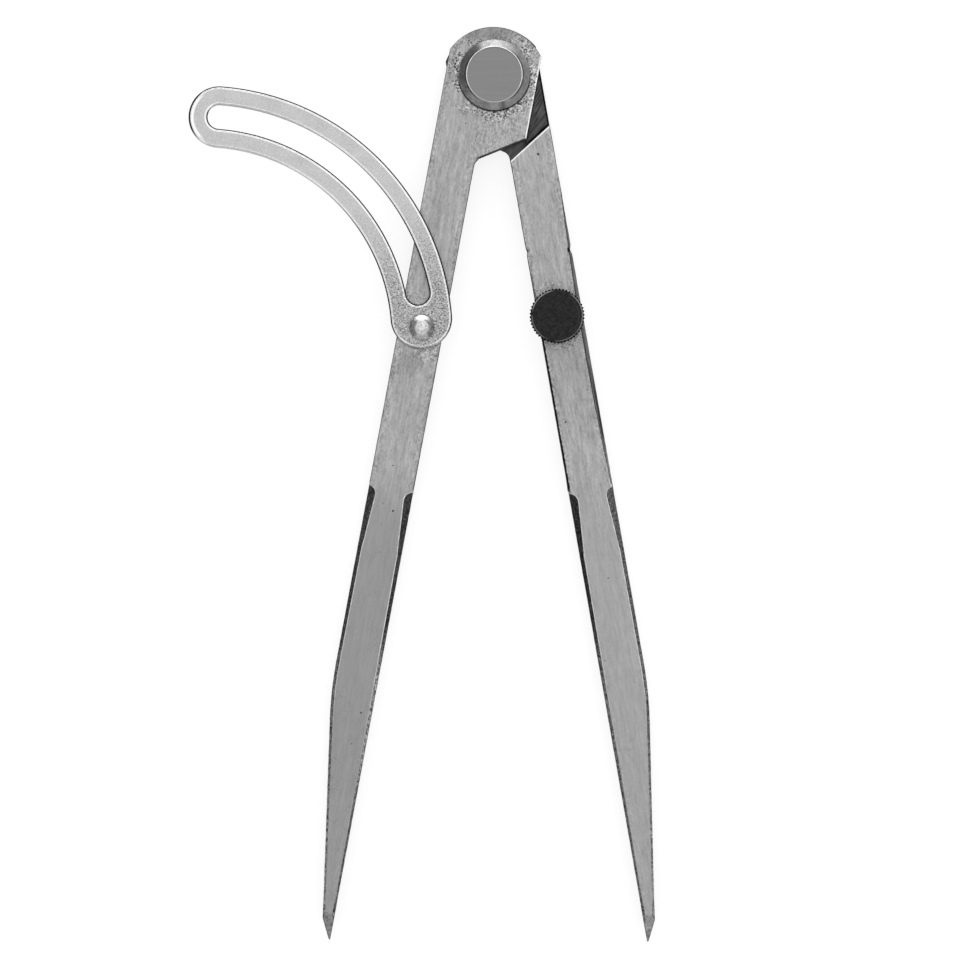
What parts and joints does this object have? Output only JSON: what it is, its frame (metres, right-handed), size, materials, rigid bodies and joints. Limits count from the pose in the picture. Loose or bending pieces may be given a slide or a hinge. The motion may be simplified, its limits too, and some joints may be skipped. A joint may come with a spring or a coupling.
{
  "type": "wing divider",
  "caption": "Flat-leg wing divider with a half-lap friction pivot, a slotted locking wing on a rivet and a knurled thumbscrew, for marking out and stepping off lengths.",
  "frame": {"origin": "on the pivot axis, in the plane of the legs' back faces", "axes": "+X to the right and +Y towards the head in the front view, +Z from the back faces to the front"},
  "size_m": [0.1023, 0.1989, 0.0132],
  "materials": {
    "ground_steel": "fine ground faces, blackened bevels and laps",
    "turned_steel": "turned and polished",
    "plated_steel": "tumbled satin plating",
    "screw_steel": "plain cut thread",
    "blackened_steel": "black oxide, satin"
  },
  "bodies": {
    "left_leg": {"left_leg": "ground_steel", "wing_rivet": "plated_steel", "wing_washer": "plated_steel"},
    "right_leg": {"right_leg": "ground_steel", "pivot_pin": "turned_steel", "pivot_spring_washer": "turned_steel"},
    "wing": {"wing": "plated_steel"},
    "thumbscrew_stud": {"thumbscrew_stud": "screw_steel"},
    "thumbscrew_knob": {"thumbscrew_knob": "blackened_steel"}
  },
  "joints": [
    {"name": "leg_opening", "type": "hinge", "parent": "left_leg", "child": "right_leg", "pos_m": [0, 0, 0], "axis": [0, 0, 1], "range_deg": [-20.5, 159.5]},
    {"name": "wing_swing", "type": "hinge", "parent": "left_leg", "child": "wing", "pos_m": [-0.01544, -0.05503, 0.0061], "axis": [0, 0, 1], "range_deg": [-20, 195]},
    {"name": "thumbscrew_travel", "type": "slide", "parent": "right_leg", "child": "thumbscrew_stud", "axis": [0, 0, 1], "range_m": [-0.00018, 0.00421]},
    {"name": "thumbscrew_turn", "type": "hinge", "parent": "thumbscrew_stud", "child": "thumbscrew_knob", "pos_m": [0.01386, -0.05247, 0.0107], "axis": [0, 0, 1], "range_deg": [-90, 2160]}
  ],
  "couplings": [
    {"joint": "thumbscrew_travel", "follows": "thumbscrew_turn", "m_per_rad": 0.00011141}
  ]
}
